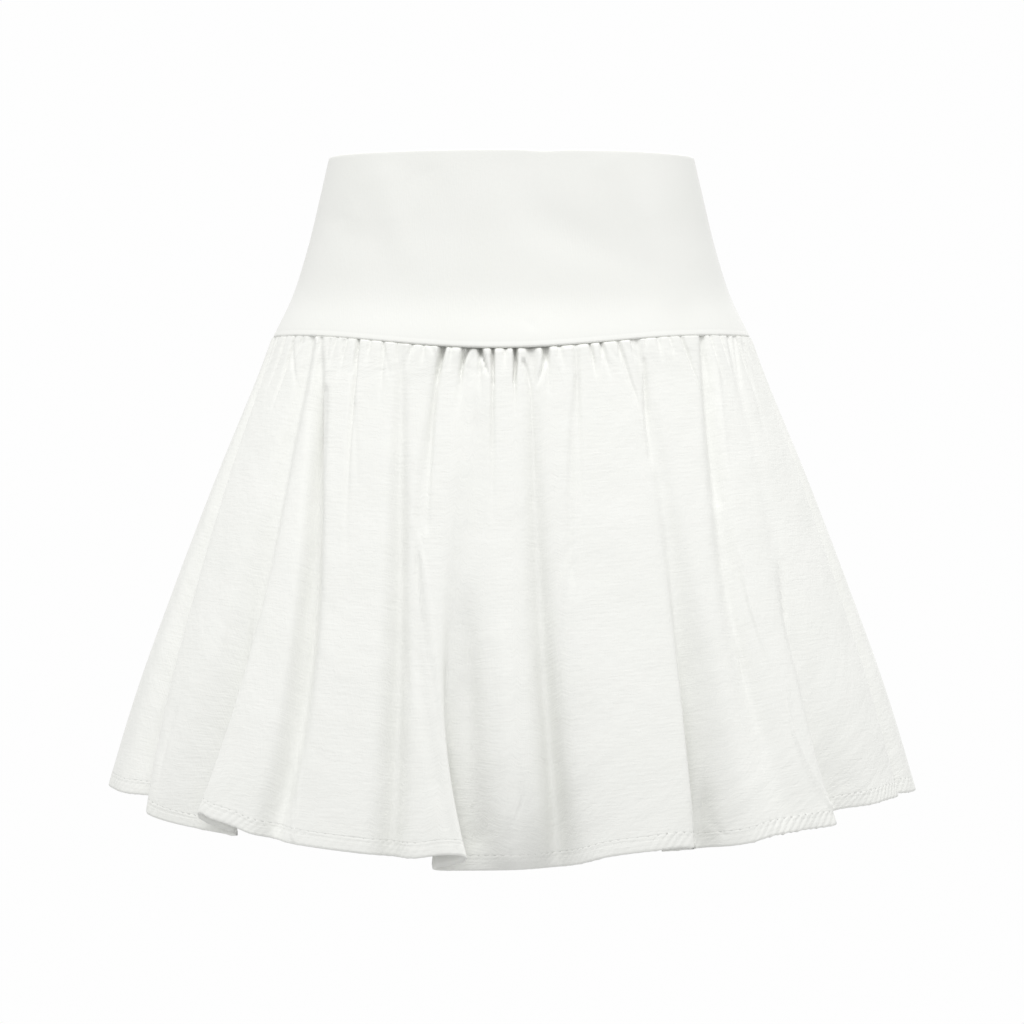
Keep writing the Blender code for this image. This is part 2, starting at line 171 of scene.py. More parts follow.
# Height of the hem round the body: low on the ridges, higher where a fold turns under.
Hem = namedtuple("Hem", "angle height")
HEM_LINE = (
    Hem(-90.0, -0.4062),
    Hem(-73.0, -0.4090),
    Hem(-69.0, -0.4110),
    Hem(-65.0, -0.4170),
    Hem(-60.0, -0.4234),
    Hem(-58.0, -0.4277),
    Hem(-56.5, -0.4310),
    Hem(-54.8, -0.4327),
    Hem(-53.5, -0.4300),
    Hem(-51.0, -0.4235),
    Hem(-49.0, -0.4188),
    Hem(-45.0, -0.4217),
    Hem(-41.0, -0.4255),
    Hem(-37.0, -0.4308),
    Hem(-31.0, -0.4350),
    Hem(-21.0, -0.4400),
    Hem(-13.0, -0.4430),
    Hem(-8.5, -0.4406),
    Hem(-5.1, -0.4423),
    Hem(-3.2, -0.4458),
    Hem(-1.3, -0.4490),
    Hem(1.0, -0.4516),
    Hem(3.0, -0.4514),
    Hem(8.0, -0.4488),
    Hem(12.0, -0.4432),
    Hem(19.0, -0.4388),
    Hem(24.0, -0.4370),
    Hem(27.0, -0.4385),
    Hem(30.0, -0.4410),
    Hem(33.0, -0.4372),
    Hem(36.0, -0.4328),
    Hem(43.0, -0.4285),
    Hem(53.5, -0.4232),
    Hem(57.0, -0.4175),
    Hem(62.0, -0.4140),
    Hem(76.0, -0.4105),
    Hem(95.0, -0.4100),
    Hem(130.0, -0.4240),
    Hem(160.0, -0.4375),
    Hem(185.0, -0.4420),
    Hem(215.0, -0.4330),
    Hem(240.0, -0.4200),
    Hem(270.0, -0.4062),
)

# Gathers below the yoke. seam: the place at the seam, and drift: how far it moves on the way
# down, in degrees; depth, half width and length in mm.
Gather = namedtuple("Gather", "seam drift depth half length")
FRONT_GATHERS = (
    Gather(-88.0, 0.0, 3.1, 3.0, 30.0),
    Gather(-75.5, 0.5, 3.4, 2.8, 34.0),
    Gather(-69.0, 1.0, 3.0, 2.8, 44.0),
    Gather(-63.4, 2.0, 4.2, 2.6, 55.0),
    Gather(-59.5, 0.0, 2.7, 2.4, 25.0),
    Gather(-45.5, 0.0, 2.7, 2.4, 21.0),
    Gather(-42.0, 0.5, 2.8, 2.2, 30.0),
    Gather(-38.5, 11.0, 4.1, 2.4, 150.0),
    Gather(-34.8, 0.5, 2.4, 2.4, 18.0),
    Gather(-31.1, 3.0, 2.8, 2.4, 46.0),
    Gather(-23.5, -0.5, 3.5, 2.6, 18.0),
    Gather(-20.6, 0.5, 2.8, 2.2, 14.0),
    Gather(-13.9, 0.0, 2.6, 2.2, 16.0),
    Gather(-11.2, 0.0, 5.6, 2.2, 42.0),
    Gather(-7.4, 0.8, 5.2, 2.0, 34.0),
    Gather(-4.3, 0.8, 2.8, 2.2, 109.0),
    Gather(-1.5, 0.0, 3.0, 2.4, 16.0),
    Gather(0.7, 0.0, 5.4, 1.7, 48.0),
    Gather(8.4, -0.8, 4.2, 2.0, 36.0),
    Gather(11.2, 0.5, 3.2, 2.4, 18.0),
    Gather(15.0, -5.0, 3.0, 3.2, 190.0),
    Gather(18.2, 1.0, 3.5, 2.2, 23.0),
    Gather(21.2, 1.0, 4.2, 2.4, 25.0),
    Gather(25.3, 4.0, 3.1, 2.4, 63.0),
    Gather(29.0, 0.0, 2.4, 2.2, 18.0),
    Gather(36.5, -0.5, 2.7, 2.6, 18.0),
    Gather(40.0, 0.0, 2.3, 2.4, 16.0),
    Gather(43.8, 3.0, 3.4, 2.4, 58.0),
    Gather(55.0, -1.0, 3.0, 2.4, 39.0),
    Gather(59.5, -1.0, 2.7, 2.4, 30.0),
    Gather(68.5, -2.0, 3.6, 2.6, 50.0),
    Gather(73.0, 0.0, 3.0, 2.4, 32.0),
    Gather(78.5, 0.5, 3.4, 2.6, 39.0),
)
BACK_GATHER_SHIFT = 2.6     # the back's gathers mirror the front's, moved by this
BACK_GATHER_DEPTH = 0.92    # and with this share of their depth
GATHER_SPREAD = 0.3         # a gather is wider by this share where it ends
YOKE_SLOPE = 1.14           # the yoke's wall is this much thicker across its slope
TUCKED_FOLDS = 0.8          # share of the folds' depth that is left under the yoke

# Fine creases, placed in the front view, in mm: each runs from start by way of middle
# to end, given as (across, down), across from the middle and down from the waist. deep: its
# depth at those three places, less than 0 for a ridge; half: its half width at both ends.
Crease = namedtuple("Crease", "start middle end deep half")
CREASES = (
    # short creases of the gathers under the yoke's edge, each group from left to right
    Crease((-142.5, 118), (-142, 136), (-138, 154), (0.96, 0.84, 0.0), (0.85, 0.85)),
    Crease((-135.5, 118), (-137.5, 123), (-139, 129.5), (0.84, 0.48, 0.0), (0.85, 0.85)),
    Crease((-124, 116.5), (-126, 124.5), (-127, 133.5), (1.2, 0.72, 0.0), (1.02, 0.77)),
    Crease((-118, 118), (-120, 125.5), (-118.5, 134.5), (0.84, 0.48, 0.0), (0.85, 0.85)),
    Crease((-109.5, 118), (-111, 124.5), (-109, 133.5), (0.84, 0.48, 0.0), (0.85, 0.85)),
    Crease((-100, 116.5), (-101, 125.5), (-104, 138.5), (1.2, 0.9, 0.4), (1.1, 1.3)),
    Crease((-84, 119), (-81.5, 132), (-77.5, 146.5), (0.84, 0.48, 0.0), (0.85, 1.1)),
    Crease((-74.5, 118), (-75, 125.5), (-74, 136), (1.44, 1.08, 0.0), (0.85, 0.77)),
    Crease((-62, 118), (-63.5, 122.5), (-64.5, 128), (1.44, 0.84, 0.0), (1.02, 0.77)),
    Crease((-54.5, 118), (-52.5, 123), (-51, 128), (1.44, 0.96, 0.0), (1.36, 0.77)),
    Crease((-50.5, 119), (-49, 125.5), (-48.5, 134.5), (-0.84, -0.84, 0.0), (1.1, 0.85)),
    Crease((-44, 119), (-46.5, 130), (-49, 145), (4.6, 5.0, 1.0), (2.2, 1.0)),
    Crease((-29.5, 136), (-23, 138), (-16.5, 136), (0.3, 0.54, 0.3), (0.85, 0.85)),
    Crease((-27, 119), (-30.5, 127), (-34, 141), (4.5, 5.0, 1.2), (2.0, 0.6)),
    Crease((-22, 119), (-19, 129), (-15.5, 140), (4.6, 5.0, 1.2), (2.0, 0.6)),
    Crease((-12.5, 119), (-12.5, 130), (-12, 147), (3.6, 4.6, 1.2), (1.5, 0.7)),
    Crease((-3.5, 119), (-4, 124.5), (-5.5, 129.5), (2.16, 1.08, 0.0), (1.7, 1.02)),
    Crease((1.5, 119), (2.5, 131), (1, 147), (4.6, 5.2, 1.2), (2.0, 0.6)),
    Crease((7.5, 132), (10.5, 142.5), (12.5, 158), (2.4, 1.8, 0.8), (1.4, 1.3)),
    Crease((10, 119), (10.5, 124.5), (9.5, 129.5), (2.04, 0.96, 0.0), (1.78, 1.36)),
    Crease((20, 119), (21.5, 130), (16.5, 146.5), (4.8, 5.6, 0.6), (2.4, 1.0)),
    Crease((29.5, 119), (30, 124.5), (29.5, 131), (1.56, 0.96, 0.0), (1.02, 0.77)),
    Crease((39.5, 119), (41, 131), (41, 150), (0.4, 0.3, 0.1), (1.0, 1.4)),
    Crease((50.5, 118), (52.5, 131), (55.5, 146.5), (1.2, 0.96, 0.0), (0.85, 0.85)),
    Crease((57, 116.5), (58, 125.5), (58, 138.5), (1.44, 1.2, 0.0), (1.1, 0.85)),
    Crease((61.5, 119), (68, 129.5), (75.5, 144), (0.3, 0.4, 0.3), (1.3, 1.5)),
    Crease((70, 116.5), (70, 125.5), (71, 137.5), (1.32, 0.96, 0.0), (0.85, 0.85)),
    Crease((74, 121.5), (79.5, 127), (85.5, 132), (0.42, 0.48, 0.24), (0.77, 0.77)),
    Crease((87, 116.5), (87, 121.5), (86, 127), (1.32, 0.84, 0.0), (1.02, 0.77)),
    Crease((111.5, 116.5), (116, 128), (124, 142), (0.5, 0.4, 0.0), (1.4, 1.8)),
    Crease((125, 128), (127.5, 140), (129, 151), (0.5, 0.7, 0.5), (1.2, 1.8)),
    Crease((144.5, 115), (146, 128), (148, 146.5), (1.08, 0.96, 0.24), (1.02, 1.02)),
    # creases that run on down from the gathers
    Crease((-127, 116.5), (-127.5, 134.5), (-135.5, 170), (-0.84, -0.72, -0.48), (1.02, 1.95)),
    Crease((-121.5, 150), (-124.5, 190), (-129.5, 243), (1.2, 2.8, 1.0), (2.0, 3.6)),
    Crease((-105, 138.5), (-103, 160), (-100.5, 209), (0.4, 0.6, 0.4), (1.3, 1.7)),
    Crease((-47.5, 134), (-52.5, 180), (-55.5, 240), (0.6, 2.4, 1.2), (1.4, 2.2)),
    Crease((-12, 145), (-12.5, 183), (-12.5, 235), (0.8, 0.9, 0.3), (1.2, 2.0)),
    Crease((12.5, 158), (13.5, 183), (14, 222), (0.6, 0.7, 0.4), (1.2, 1.8)),
    Crease((42.5, 142.5), (39.5, 190), (38.5, 270), (0.7, 2.2, 1.4), (2.0, 3.2)),
    Crease((75.5, 144), (82, 159.5), (86, 183), (0.3, 0.4, 0.3), (1.5, 1.6)),
    Crease((86, 131), (87.5, 163.5), (90.5, 196), (0.8, 2.6, 1.4), (1.3, 2.2)),
    Crease((130, 151.5), (128, 178), (134, 222), (0.7, 0.9, 0.8), (2.2, 3.8)),
    Crease((132.5, 124.5), (137, 170), (140.5, 209), (-0.48, -0.6, -0.36), (1.36, 1.78)),
    Crease((150, 120.5), (156.5, 146.5), (165.5, 183), (0.6, 0.54, 0.24), (0.85, 1.1)),
    # creases of the middle and the hem
    Crease((-226.5, 354.5), (-231, 372.5), (-235, 392), (0.6, 1.0, 0.4), (1.0, 1.2)),
    Crease((-217, 357), (-224.5, 379), (-230, 405), (0.5, 0.9, 0.4), (1.0, 1.3)),
    Crease((-207.5, 281.5), (-210.5, 296), (-213, 310), (-0.7, -0.9, -0.4), (0.9, 0.9)),
    Crease((-183.5, 290.5), (-185.5, 305), (-188, 318), (-0.4, -0.7, -0.3), (1.2, 1.0)),
    Crease((-167.5, 289.5), (-169.5, 310), (-174, 333.5), (0.6, 1.4, 1.0), (1.0, 0.9)),
    Crease((-141, 375), (-142, 410), (-143, 441), (-0.3, -0.8, -0.5), (1.0, 1.1)),
    Crease((-137.5, 380.5), (-139, 410.5), (-142, 443), (-0.6, -0.9, -0.6), (0.9, 0.9)),
    Crease((-129.5, 248), (-134.5, 290), (-146, 385), (1.2, 2.6, 0.6), (3.6, 4.2)),
    Crease((-70, 320.5), (-68, 333.5), (-66, 348), (0.7, 1.1, 0.3), (0.9, 0.9)),
    Crease((-66, 232), (-58, 262), (-54, 290), (-0.3, -0.7, -0.4), (1.3, 1.3)),
    Crease((-61.5, 261), (-59.5, 287), (-54.5, 320.5), (0.8, 1.3, 0.8), (1.2, 1.0)),
    Crease((-60, 245), (-49, 335), (-38, 415), (-0.3, -1.1, -0.7), (1.4, 1.8)),
    Crease((5.5, 411.5), (5.5, 420.5), (3, 428.5), (0.6, 0.9, 0.3), (1.0, 1.0)),
    Crease((30, 352), (32, 313), (35.5, 280.5), (0.3, 0.6, 0.2), (1.3, 1.3)),
    Crease((40, 255), (32, 275), (27, 290), (-0.3, -0.5, -0.2), (2.0, 2.0)),
    Crease((123, 417), (129, 428.5), (138, 439), (0.4, 0.9, 0.4), (1.6, 1.4)),
    Crease((133, 250), (144, 300), (160, 370), (0.3, 1.0, 0.4), (2.0, 2.6)),
    Crease((147, 320.5), (150, 333.5), (152.5, 348), (0.9, 1.2, 0.4), (1.2, 1.0)),
    Crease((148, 255), (154, 280), (164, 318), (-0.4, -0.7, -0.3), (1.4, 1.6)),
    Crease((149, 261), (153.5, 287), (166.5, 324.5), (-0.8, -1.1, -0.3), (1.0, 1.0)),
    Crease((174, 255), (176, 285), (182, 322), (0.4, 1.0, 0.5), (1.2, 1.6)),
    Crease((176.5, 261), (176.5, 290.5), (180.5, 318), (0.7, 1.0, 0.4), (1.0, 1.0)),
    Crease((179.5, 345.5), (185, 379), (209.5, 424.5), (-0.6, -1.2, -1.0), (1.0, 1.0)),
    Crease((199, 398.5), (220, 406.5), (239.5, 397.5), (0.3, 0.5, 0.3), (1.3, 1.6)),
    # small wrinkles pressed into the cloth
    Crease((-115.5, 287), (-118, 294.5), (-115.5, 302.5), (0.3, 0.6, 0.2), (1.0, 1.0)),
    Crease((-115.5, 288), (-110, 286), (-103.5, 282), (0.6, 0.9, 0.2), (0.9, 0.9)),
    Crease((-113, 379), (-108, 376.5), (-102.5, 370.5), (0.4, 0.7, 0.2), (0.9, 0.9)),
    Crease((164, 385.5), (161, 393.5), (170, 393.5), (0.6, 0.9, 0.4), (0.9, 0.9)),
    Crease((178.5, 319.5), (183.5, 320.5), (187.5, 318), (0.5, 0.7, 0.2), (0.9, 0.9)),
    Crease((195.5, 388), (200.5, 390), (209, 386), (0.5, 0.9, 0.3), (0.9, 0.9)),
    Crease((204.5, 296), (211, 305), (218.5, 313), (0.3, 0.5, 0.2), (1.3, 1.3)),
    # broad hollows and ridges
    Crease((-30, 138), (-27, 172), (-24, 240), (1.4, 2.4, 0.8), (9.0, 11.0)),
    Crease((-29, 285), (-27, 345), (-22, 440), (0.8, 6.0, 3.0), (6.0, 7.5)),
    Crease((-25, 118), (-25, 129), (-24.5, 143), (2.6, 2.4, 0.6), (6.0, 5.0)),
    Crease((-6, 310), (-4, 385), (-1, 455), (-0.8, -2.8, -4.2), (7.0, 8.5)),
    Crease((12.5, 118), (12.5, 130), (13, 152), (3.0, 2.4, 0.4), (5.5, 4.5)),
    Crease((125, 398), (125, 424), (127, 450), (0.0, 3.6, 6.0), (5.5, 7.5)),
)
CREASE_STEPS = 24
CREASE_REACH = 3.0          # a crease ends at this many half widths
CREASE_EDGE_ON = 0.05       # they fade where the cloth turns edge-on to the view: this part
CREASE_FACING = 0.4         # of its normal towards the view has none, and this part all,
CREASE_TOP = 0.001          # and within this distance of the yoke's lower edge

# Soft drape of the yoke, in the same columns.
YOKE_DRAPE = (
    Crease((2, 10), (26, 42), (88, 72), (0.6, 0.9, 0.4), (18.0, 11.0)),
    Crease((72, 2), (88, 38), (104, 88), (-1.0, -1.5, -0.9), (15.0, 13.0)),
    Crease((-82, 16), (-78, 38), (-68, 62), (-0.6, -0.9, -0.4), (11.0, 11.0)),
    Crease((-104, 28), (-112, 40), (-100, 52), (0.2, 0.6, 0.2), (10.0, 10.0)),
    Crease((-60, 2), (-58, 12), (-50, 22), (0.3, 0.5, 0.2), (12.0, 12.0)),
    Crease((8, 104), (12, 107), (15, 109), (0.1, 0.25, 0.1), (3.0, 3.0)),
    Crease((-132, 91), (0, 98), (132, 91), (0.8, 1.1, 0.8), (19.0, 19.0)),
)

# Puckers of the hem. Zones where they are higher: middle, half width and extra height, in
# mm of the front view.
Zone = namedtuple("Zone", "middle half extra")
PUCKER_ZONES = (
    Zone(-248.0, 20.0, 0.22),
    Zone(-186.0, 26.0, 0.42),
    Zone(-76.0, 12.0, 0.35),
    Zone(28.0, 26.0, 0.30),
    Zone(108.0, 12.0, 0.55),
    Zone(186.0, 26.0, 0.72),
    Zone(240.0, 22.0, 0.52),
)
PUCKER_CALM = 0.13          # their height in mm elsewhere
PUCKER_PITCH = 0.0057       # from one pucker to the next along the hem
PUCKER_SLANT = 1.0          # puckers lean: this far along for each metre down
PUCKER_ABOVE = 0.0050       # they fade out this far above the turned hem
PUCKER_SHARP = 0.65         # below 1 the grooves between them are sharper than the ridges
PUCKER_SINK = 0.6           # of their height, this share lies inside the cloth
# What makes them uneven: waves whose rates are in radians for each pucker.
Wave = namedtuple("Wave", "share rate phase")
PITCH_WAVES = (Wave(1.0, 0.37, 0.0), Wave(0.6, 0.113, 1.3), Wave(0.5, 0.71, 2.0))
PITCH_WANDER = 0.30         # how far, in puckers, those waves move them along
HEIGHT_MEAN = 0.72          # their height is this share of its most,
HEIGHT_BEAT = 0.28          # give or take this share, as the product of two more waves
HEIGHT_RATES = (0.53, 0.29)
HEIGHT_PHASE = 0.8
STITCH_PITCH = 0.0029       # from one stitch of the hem to the next
STITCH_LONG = 0.0021
STITCH_WIDE = 0.0002

# ------------------------------------------------------------------ colours
COTTON_DARK = (0.792, 0.797, 0.766)
COTTON_LIGHT = (0.812, 0.816, 0.787)
KNIT_DARK = (0.770, 0.775, 0.744)
KNIT_LIGHT = (0.786, 0.790, 0.762)
FLOOR_GREY = (0.55, 0.55, 0.55)

# ------------------------------------------------------------------ camera and light
PIXEL = 0.00065             # size of one pixel of the 1024-pixel view at the side seams
VIEW_PIXELS = 1024
CAMERA_DISTANCE = 3.9
CAMERA_HEIGHT = -0.2296
CAMERA_ASIDE = 0.0003
CAMERA_SENSOR = 36.0
CAMERA_CLIP = 60.0
FLOOR_HEIGHT = -0.95        # the skirt hangs at the height of a standing wearer's waist
FLOOR_RADIUS = 4.4
BACKDROP = 0.99             # strength of the white that the camera sees behind the skirt
AMBIENT = 0.676             # and of the even light that falls on it
SoftBox = namedtuple("SoftBox", "name place width power")
SOFT_BOXES = (
    SoftBox("from_left", (-3.0, -0.9, 0.3), 1.5, 11.0),
    SoftBox("from_right", (3.0, -0.9, 0.3), 1.5, 10.8),
    SoftBox("overhead", (0.0, -1.6, 4.2), 2.8, 166.0),
    SoftBox("from_behind", (0.5, 3.0, 1.7), 1.4, 40.0),
)
SOFT_BOX_TARGET = (0.0, 0.0, -0.22)


# ------------------------------------------------------------------ small helpers
def ease(value, start, end):
    """Smooth step from 0 at start to 1 at end."""
    part = np.clip((value - start) / (end - start), 0.0, 1.0)
    return part * part * (3.0 - 2.0 * part)


def around(angle, centre):
    """Signed difference of two angles in degrees, between -180 and 180."""
    return (angle - centre + 180.0) % 360.0 - 180.0


def smooth_through(value, knots, levels):
    """Smooth cubic curve through a table's levels at its knots."""
    knots = np.asarray(knots)
    levels = np.asarray(levels)
    slopes = np.gradient(levels, knots)
    place = np.clip(np.searchsorted(knots, value) - 1, 0, len(knots) - 2)
    span = knots[place + 1] - knots[place]
    t = np.clip((value - knots[place]) / span, 0.0, 1.0)
    low, high = levels[place], levels[place + 1]
    rise_low, rise_high = slopes[place] * span, slopes[place + 1] * span
    return (low * (1 + 2 * t) * (1 - t) ** 2 + rise_low * t * (1 - t) ** 2
            + high * t ** 2 * (3 - 2 * t) - rise_high * t ** 2 * (1 - t))


def body_size(height):
    """Half width and half depth of the body of the skirt at a height."""
    heights, widths, depths = zip(*reversed(LEVELS))
    return smooth_through(height, heights, widths), smooth_through(height, heights, depths)


def seam_height(angle):
    """Height of the yoke's lower edge round the body."""
    off_centre = np.cos(np.radians(angle - SEAM_DIP_CENTRE))
    front = SEAM_FRONT_DROP * np.maximum(off_centre, 0.0) ** SEAM_DIP_POWER
    back = SEAM_BACK_DROP * np.maximum(-off_centre, 0.0) ** SEAM_DIP_POWER
    return SEAM_AT_SIDE - front - back


def ellipse(angle, height, out=0.0, along=0.0):
    """Point on the body, moved out from it and along it (a horizontal ring)."""
    half_width, half_depth = body_size(height)
    sine, cosine = np.sin(np.radians(angle)), np.cos(np.radians(angle))
    length = np.hypot(half_depth * sine, half_width * cosine)
    out_x, out_y = half_depth * sine / length, -half_width * cosine / length
    x = half_width * sine + out_x * out - out_y * along
    y = -half_depth * cosine + out_y * out + out_x * along
    return np.stack([x, y, np.broadcast_to(height, x.shape)], axis=-1)


def run_length(points, axis=0):
    """Length along a line of points, or along each line of a grid, from its first point."""
    first = np.take(points, [0], axis)
    return np.cumsum(np.linalg.norm(np.diff(points, axis=axis, prepend=first), axis=-1), axis)


def degrees_for(length_mm, height):
    """Degrees round the body that a length in mm takes at a height."""
    half_width, half_depth = body_size(height)
    return np.degrees(length_mm * MM / (0.5 * (half_width + half_depth)))


# ------------------------------------------------------------------ the flounce's form
def through_three(places, fall):
    """Parabola through a flute's values at the seam, in its middle and at the hem."""
    seam, middle, hem = places
    bow = middle - seam - (hem - seam) * FLUTE_MIDDLE
    return (seam + (hem - seam) * fall
            + bow * fall * (1.0 - fall) / (FLUTE_MIDDLE * (1.0 - FLUTE_MIDDLE)))


def hem_height(angle):
    """Height of the hem round the body."""
    angles, heights = zip(*HEM_LINE)
    place = (angle - angles[0]) % 360.0 + angles[0]
    return smooth_through(place, angles, heights)


def all_gathers():
    """The front's gathers, and the back's, which mirror them."""
    back = [Gather(180.0 - gather.seam + BACK_GATHER_SHIFT, -gather.drift,
                   gather.depth * BACK_GATHER_DEPTH, gather.half, gather.length)
            for gather in FRONT_GATHERS]
    return list(FRONT_GATHERS) + back


def flounce_point(angle, below):
    """Outer face of the flounce at an angle and a distance below the yoke's edge."""
    top, bottom = seam_height(angle), hem_height(angle)
    fall = np.clip(below / FLOUNCE_LENGTH, 0.0, 1.0)
    height = np.where(below < 0.0, top - below, top + (bottom - top) * fall)
    out = np.zeros_like(height)
    along = np.zeros_like(height)
    for flute in FLUTES:
        depth = through_three(flute.deep, fall)
        half = flute.half[0] + (flute.half[1] - flute.half[0]) * fall ** FLUTE_OPENING
        reach = around(angle, through_three(flute.at, fall)) / degrees_for(half, height)
        share = MM * np.exp(-reach ** 2)
        out -= depth * share
        along -= flute.lean * fall ** LEAN_POWER * share
    for gather in all_gathers():
        run = np.clip(below / (gather.length * MM), 0.0, 1.0)
        half = gather.half * FINE_GATHERS * (1.0 + GATHER_SPREAD * run)
        reach = around(angle, gather.seam + gather.drift * run) / degrees_for(half, height)
        deep = gather.depth * GATHER_SHARE * MM
        out -= deep * (1.0 - ease(run, 0.0, 1.0)) * np.exp(-reach ** 2)
    front = np.exp(-(around(angle, PUFF_MIDDLE) / PUFF_SPREAD) ** 2)
    out += SWELL * np.exp(-(below / SWELL_DOWN) ** 2)
    filled = ease(below, 0.0, PUFF_ROUND + (PUFF_FRONT - PUFF_ROUND) * front)
    tucked = -(YOKE_WALL + PIECE_GAP) * YOKE_SLOPE + TUCKED_FOLDS * np.minimum(out, 0.0)
    out = tucked * (1.0 - filled) + out * filled
    return ellipse(angle, height, out, along * filled)


def view_place(grid):
    """Across and down in mm of the front view; the back shows as if seen through."""
    scale = CAMERA_DISTANCE / (CAMERA_DISTANCE - np.abs(grid[..., 1])) / MM
    across = (grid[..., 0] - CAMERA_ASIDE) * scale
    return across, (CAMERA_HEIGHT - grid[..., 2]) * scale - CAMERA_HEIGHT / MM


def flounce_ring(below):
    """The ring round the flounce at a distance below the yoke's edge, by its angles."""
    return lambda angle: flounce_point(angle, np.full_like(angle, below))


def hem_length(angle, first, last):
    """Length along the hem from the panel's first edge to an angle."""
    steps = np.linspace(first - PANEL_MARGIN, last + PANEL_MARGIN, RING_SAMPLES)
    return np.interp(angle, steps, run_length(flounce_ring(FLOUNCE_LENGTH)(steps)))


def hem_pucker(grid, length, below):
    """Slanting puckers that the hem's stitching pulls into the turned cloth."""
    across, _ = view_place(grid)
    band = ease(below, HEM_TOP - PUCKER_ABOVE, HEM_TOP + HEM_STEP)
    turn = (length + (below - HEM_TOP) * PUCKER_SLANT) / PUCKER_PITCH
    wander = sum(wave.share * np.sin(turn * wave.rate + wave.phase) for wave in PITCH_WAVES)
    wave = np.abs(np.sin(np.pi * (turn + PITCH_WANDER * wander))) ** PUCKER_SHARP - PUCKER_SINK
    beat = np.sin(turn * HEIGHT_RATES[0]) * np.sin(turn * HEIGHT_RATES[1] + HEIGHT_PHASE)
    uneven = HEIGHT_MEAN + HEIGHT_BEAT * beat
    strength = PUCKER_CALM * np.ones(across.shape)
    for zone in PUCKER_ZONES:
        strength += zone.extra * np.exp(-((across - zone.middle) / zone.half) ** 2)
    return wave * band * strength * uneven * MM


def crease_depth(grid, creases):
    """Depth in metres of a table's creases at the points of a grid."""
    across, down = view_place(grid)
    depth = np.zeros(across.shape)
    t = np.linspace(0.0, 1.0, CREASE_STEPS + 1)
    for crease in creases:
        start, middle, end = (np.array(place, float) for place in
                              (crease.start, crease.middle, crease.end))
        guide = 2.0 * middle - 0.5 * (start + end)
        path = (((1 - t) ** 2)[:, None] * start + (2 * t * (1 - t))[:, None] * guide
                + (t ** 2)[:, None] * end)
        reach = CREASE_REACH * max(crease.half)
        low, high = path.min(0) - reach, path.max(0) + reach
        near = ((across > low[0]) & (across < high[0]) & (down > low[1]) & (down < high[1]))
        points = np.stack([across[near], down[near]], -1)
        if not len(points):
            continue
        run = path[1:] - path[:-1]
        offset = points[:, None] - path[:-1]
        part = np.clip((offset * run).sum(-1) / (run ** 2).sum(-1), 0.0, 1.0)
        away = np.linalg.norm(offset - part[..., None] * run, axis=-1)
        nearest = away.argmin(1)
        rows = np.arange(len(points))
        along = (nearest + part[rows, nearest]) / CREASE_STEPS
        deep = np.interp(along, (0.0, 0.5, 1.0), crease.deep)
        half = crease.half[0] + (crease.half[1] - crease.half[0]) * along
        depth[near] += deep * MM * np.exp(-(away[rows, nearest] / half) ** 2)
    return depth


# ------------------------------------------------------------------ building the shells
def unit_normals(grid):
    """Outward unit normals of a grid of points, rows downwards, columns with the angle."""
    along = np.gradient(grid, axis=1)
    down = np.gradient(grid, axis=0)
    normal = np.cross(down, along)
    return normal / np.linalg.norm(normal, axis=-1, keepdims=True)


def panel_angles(first, last, columns, ring):
    """Angles of a panel's columns, as close on the flanks of the folds as on the ridges.

    Half of the columns are spread by angle and half by the length of the ring below;
    one more column lies beyond each side seam.
    """
    angle = np.linspace(first - PANEL_MARGIN, last + PANEL_MARGIN, RING_SAMPLES)
    length = run_length(ring(angle))
    share = length / length[-1] + (angle - angle[0]) / (angle[-1] - angle[0])
    start, end = np.interp((first, last), angle, share)
    wanted = np.linspace(-1.0, columns + 1.0, columns + 3) / columns
    return np.interp(start + (end - start) * wanted, share, angle)


def rim_faces(outer_line, inner_line, skip):
    """Faces between an edge of the outer layer and the inner one's, with fewer points."""
    return [list(outer_line[skip * i:skip * (i + 1) + 1]) + [inner_line[i + 1], inner_line[i]]
            for i in range(len(inner_line) - 1)]


def shell(name, outer, inner, skip, material):
    """One closed thin shell between an outer grid and a coarser inner one.

    skip: of how many rows and columns the inner layer has one. The map is in metres: across
    the cloth from the middle column, and down it from the top.
    """
    rows, columns = outer.shape[:2]
    for edge, neighbour in ((0, 1), (-1, -2)):
        step = outer[:, neighbour] - outer[:, edge]
        step = step / np.linalg.norm(step, axis=-1, keepdims=True) * PIECE_GAP / 2
        outer[:, edge] += step
        inner[:, edge] += step
    inner = inner[::skip[0], ::skip[1]]
    index = np.arange(rows * columns).reshape(rows, columns)
    under = rows * columns + np.arange(inner.shape[0] * inner.shape[1]).reshape(inner.shape[:2])
    faces = np.stack([index[:-1, :-1], index[1:, :-1], index[1:, 1:], index[:-1, 1:]],
                     -1).reshape(-1, 4).tolist()
    faces += np.stack([under[:-1, :-1], under[:-1, 1:], under[1:, 1:], under[1:, :-1]],
                      -1).reshape(-1, 4).tolist()
    faces += rim_faces(index[0], under[0], skip[1])
    faces += rim_faces(index[-1][::-1], under[-1][::-1], skip[1])
    faces += rim_faces(index[:, 0][::-1], under[:, 0][::-1], skip[0])
    faces += rim_faces(index[:, -1], under[:, -1], skip[0])
    points = np.concatenate([outer.reshape(-1, 3), inner.reshape(-1, 3)])
    across = run_length(outer, 1)
    flat = np.stack([across - across[:, [columns // 2]], -run_length(outer)], -1)
    flat = np.concatenate([flat.reshape(-1, 2), flat[::skip[0], ::skip[1]].reshape(-1, 2)])
    return mesh_piece(name, points, faces, material, flat)


